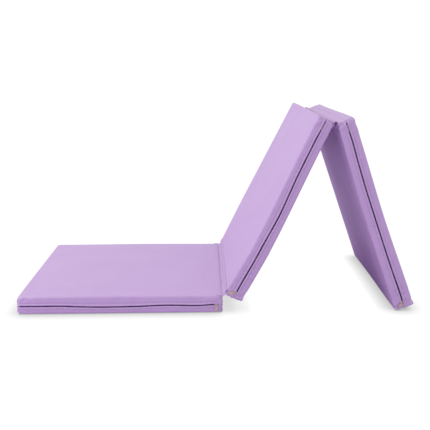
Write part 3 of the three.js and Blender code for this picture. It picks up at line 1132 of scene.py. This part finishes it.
HANDLE = {
    "half_span": 75 * MM,
    "sewn": 105 * MM,
    "width": 30 * MM,
    "thickness": 2.4 * MM,
    "rise": 24 * MM,
    "standoff": 0.3 * MM,
    "stitched": (79 * MM, 101 * MM),    # from the strap's middle to its boxes of stitches
    "stitched_half_width": 11 * MM,
    "follows": (3.4 * MM, 9 * MM),      # two heights over the side, at which points are placed that nothing uses
                                        # side, and the moving handle from the second
}


def build_handle(number):
    """A folded webbing strap on the rear side, sewn down at both ends."""
    panel = panels[number]
    along = np.linspace(-HANDLE["sewn"], HANDLE["sewn"], 85)
    across = np.linspace(-1, 1, 15)
    bow = np.where(
        np.abs(along) < HANDLE["half_span"],
        HANDLE["rise"] * (1 + np.cos(math.pi * along / HANDLE["half_span"])) / 2, 0)
    back = CAD_HALF[1] + HANDLE["standoff"]
    layers = []
    for layer in (1, -1):
        grid = np.empty((len(along), len(across), 3))
        for j, share in enumerate(across):
            soft = math.sqrt(max(0.0, 1 - abs(share) ** 8))
            rib = 0.18 * MM * math.cos(share * 5 * math.pi)
            half = (HANDLE["thickness"] / 2) * (0.35 + 0.65 * soft) + rib * 0.5
            cup = 1.1 * MM * share ** 2 * bow / HANDLE["rise"]
            narrow = 1 - 0.06 * bow / HANDLE["rise"]
            grid[:, j, 0] = along
            grid[:, j, 1] = back + HANDLE["thickness"] / 2 + bow - cup + layer * half
            grid[:, j, 2] = share * narrow * HANDLE["width"] / 2
        layers.append(grid)
    points, faces = slab(layers[0], layers[1])
    faces = [face[::-1] for face in faces]
    strap = mesh_object(f"handle_{number}", panel.place(points), faces, handle_webbing)
    start, end = panel.place([(0, back + height, 0) for height in HANDLE["follows"]])
    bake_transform(strap)
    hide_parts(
        f"handle_grip_{number}", f"handle_end_left_{number}",
        f"handle_end_right_{number}")

    top = back + HANDLE["thickness"] + 0.05 * MM
    lines = []
    for end in (-1, 1):
        inner, outer = [end * distance for distance in HANDLE["stitched"]]
        z = HANDLE["stitched_half_width"]
        corners = [(inner, top, -z), (outer, top, -z), (outer, top, z), (inner, top, z)]
        runs = list(zip(corners, corners[1:] + corners[:1]))
        runs += [(corners[0], corners[2]), (corners[1], corners[3])]
        lines += [(panel.place(run), panel.turn([(0, 1, 0)] * 2)) for run in runs]
    stitches(f"handle_{number}_stitching", lines, panel.body)


# ---------------------------------------------------------------- stage

def build_stage():
    low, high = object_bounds()
    n = Nodes("pale_floor")
    # other rays meet a lilac diffuse floor, which tints the light bouncing onto the mat
    bounce = n.add("ShaderNodeBsdfDiffuse", {"Color": rgb(0.76, 0.62, 0.84)})
    # painted contact shadows: ambient occlusion darkens the floor's white glow near the mat, for
    # the camera only
    painted_contact_shadow = n.add(
        "ShaderNodeAmbientOcclusion", {"Distance": 0.052}, samples=16).outputs["AO"]
    shade = n.mix_colour(painted_contact_shadow, rgb(0.34, 0.34, 0.34), rgb(1, 1, 1))
    seen = n.add("ShaderNodeEmission", {"Color": shade, "Strength": 1.03})
    from_camera = n.add("ShaderNodeLightPath").outputs["Is Camera Ray"]
    material = n.finish(n.add(
        "ShaderNodeMixShader", {0: from_camera, 1: bounce.outputs[0], 2: seen.outputs[0]}))
    size = 14.0
    corners = [(-size, -size), (size, -size), (size, size), (-size, size)]
    floor = mesh_object(
        "floor", [(x, y, low.z) for x, y in corners], [(0, 1, 2, 3)], material, smooth=False)

    n = Nodes("studio", world=True)
    seen = n.add("ShaderNodeBackground", {"Strength": 1.05, "Color": rgb(1, 1, 1)})
    lighting = n.add("ShaderNodeBackground", {"Strength": 0.77, "Color": rgb(1, 0.99, 1)})
    from_camera = n.add("ShaderNodeLightPath").outputs["Is Camera Ray"]
    bpy.context.scene.world = n.finish(n.add(
        "ShaderNodeMixShader", {0: from_camera, 1: lighting.outputs[0], 2: seen.outputs[0]}))


KEY_LIGHT = {
    "place": (-2.1, -0.45, 2.3),
    "target": (0.2, 0.0, 0.15),
    "side": 1.8,
    "power": 35.5,
}


def build_light():
    """A soft square light from the upper left, in front."""
    lamp = bpy.data.lights.new("key", "AREA")
    lamp.shape = "RECTANGLE"
    lamp.size = lamp.size_y = KEY_LIGHT["side"]
    lamp.energy = KEY_LIGHT["power"]
    made = bpy.data.objects.new("key", lamp)
    bpy.context.scene.collection.objects.link(made)
    made.location = KEY_LIGHT["place"]
    made.rotation_mode = "QUATERNION"
    towards = Vector(KEY_LIGHT["target"]) - Vector(KEY_LIGHT["place"])
    made.rotation_quaternion = towards.to_track_quat("-Z", "Y")


CAMERA = {
    "place": (0.248, -2.308, 0.753),
    "heading": math.radians(-1.28),     # turned from +Y towards -X
    "down": math.radians(9.24),
    "roll": math.radians(-0.16),
    "lens": 58.95,
    "shift": (-0.012, -0.1),
}


def build_camera():
    heading, down, roll = CAMERA["heading"], CAMERA["down"], CAMERA["roll"]
    right = Vector((math.cos(heading), math.sin(heading), 0))
    ahead = Vector((
        -math.sin(heading) * math.cos(down), math.cos(heading) * math.cos(down),
        -math.sin(down)))
    up = right.cross(ahead)
    tilted_right = right * math.cos(roll) + up * math.sin(roll)
    tilted_up = up * math.cos(roll) - right * math.sin(roll)
    camera = bpy.data.objects.new("camera", bpy.data.cameras.new("camera"))
    bpy.context.scene.collection.objects.link(camera)
    camera.data.lens = CAMERA["lens"]
    camera.data.sensor_width = 36
    camera.data.shift_x, camera.data.shift_y = CAMERA["shift"]
    turned = Matrix((tilted_right, tilted_up, -ahead)).transposed().to_4x4()
    camera.matrix_world = Matrix.Translation(CAMERA["place"]) @ turned
    bpy.context.scene.camera = camera


# ---------------------------------------------------------------- the scene

cover_surfaces = build_covers()
stitch_hems(cover_surfaces)
build_zips()
finish_hardware()
build_foam()
build_strips()
build_handle(1)
build_handle(3)
build_stage()
build_light()
build_camera()
bpy.context.scene.view_settings.view_transform = "Standard"
